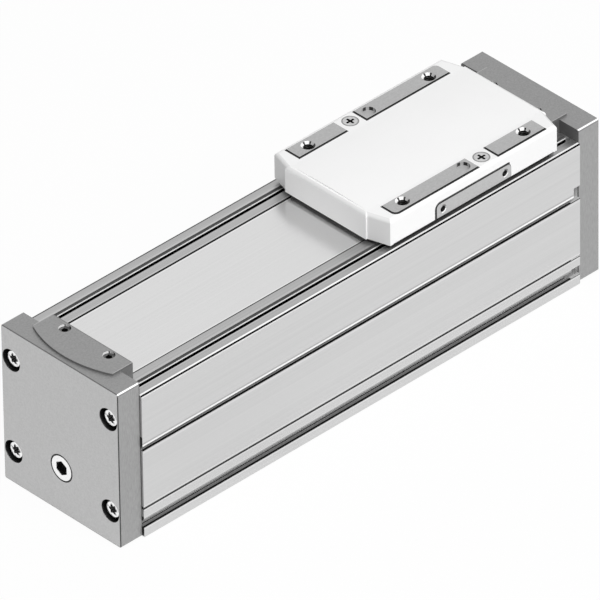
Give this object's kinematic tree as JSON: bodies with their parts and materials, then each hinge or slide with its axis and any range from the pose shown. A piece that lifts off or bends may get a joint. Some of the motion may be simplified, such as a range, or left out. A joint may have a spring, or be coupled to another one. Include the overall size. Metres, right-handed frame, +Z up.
{
  "type": "belt driven linear axis",
  "caption": "Closed aluminium profile axis with end caps, a steel cover strip and a slide moved along it by an internal toothed belt on a guide rail.",
  "frame": {"origin": "middle of the underside of the axis' bounding box", "axes": "+X along the axis towards the drive end, +Y towards the drive shaft opening, +Z up out of the slide's load face"},
  "size_m": [0.3156, 0.082, 0.0994],
  "materials": {
    "anodised": "satin clear anodised extrusion",
    "cast": "matt grey anodised",
    "machined": "plain machined",
    "slide_alloy": "fine milled, clear anodised",
    "pulley_alloy": "turned",
    "strip_steel": "fine brushed stainless strip",
    "rail_steel": "ground",
    "bearing_steel": "ground",
    "screw_steel": "bright zinc plated",
    "white_plastic": "white moulded plastic, satin",
    "black_plastic": "black moulded plastic",
    "belt_rubber": "black polyurethane belt",
    "buffer_rubber": "black rubber",
    "magnet_rubber": "dark magnetic strip"
  },
  "bodies": {
    "frame": {"profile": "anodised", "near_end_cap": "cast", "far_end_cap": "cast", "near_cap_screws": "screw_steel", "far_cap_screws": "screw_steel", "near_screw_plug": "screw_steel", "far_screw_plug": "screw_steel", "near_strip_clamp": "screw_steel", "far_strip_clamp": "screw_steel", "near_clamp_screws": "screw_steel", "far_clamp_screws": "screw_steel", "cover_strip": "strip_steel", "strip_magnets": "magnet_rubber", "guide_rail": "rail_steel", "rail_screws": "screw_steel", "drive_block": "machined", "drive_block_screws": "screw_steel", "drive_bearings": "bearing_steel", "retaining_rings": "screw_steel", "idler_block": "machined", "idler_axle": "rail_steel", "idler_spacers_and_rings": "bearing_steel", "tension_screw": "screw_steel", "near_buffers": "buffer_rubber", "far_buffers": "buffer_rubber", "toothed_belt": "belt_rubber"},
    "carriage": {"runner_block": "rail_steel", "runner_end_plates": "black_plastic", "carriage_yoke": "machined", "yoke_screws": "screw_steel", "slide_body": "slide_alloy", "body_screws": "screw_steel", "slide_cover": "white_plastic", "cover_screws": "screw_steel", "near_strip_guide": "black_plastic", "far_strip_guide": "black_plastic", "near_belt_clamp": "machined", "far_belt_clamp": "machined", "belt_clamp_screws": "screw_steel"},
    "drive_wheel": {"drive_pulley": "pulley_alloy", "drive_bearing_inner_rings": "bearing_steel"},
    "idler_wheel": {"idler_pulley": "pulley_alloy", "idler_bearings": "bearing_steel"}
  },
  "joints": [
    {"name": "slide_travel", "type": "slide", "parent": "frame", "child": "carriage", "axis": [1, 0, 0], "range_m": [-0.1508, 0.0012], "deforming": ["toothed_belt", "cover_strip"]},
    {"name": "drive_turn", "type": "hinge", "parent": "frame", "child": "drive_wheel", "pos_m": [0.125, 0, 0.05202], "axis": [0, 1, 0], "range_deg": [-603.2, 4.8]},
    {"name": "idler_turn", "type": "hinge", "parent": "frame", "child": "idler_wheel", "pos_m": [-0.125, 0, 0.05202], "axis": [0, 1, 0], "range_deg": [-603.2, 4.8]}
  ],
  "couplings": [
    {"joint": "drive_turn", "follows": "slide_travel", "rad_per_m": 69.813},
    {"joint": "idler_turn", "follows": "slide_travel", "rad_per_m": 69.813}
  ]
}
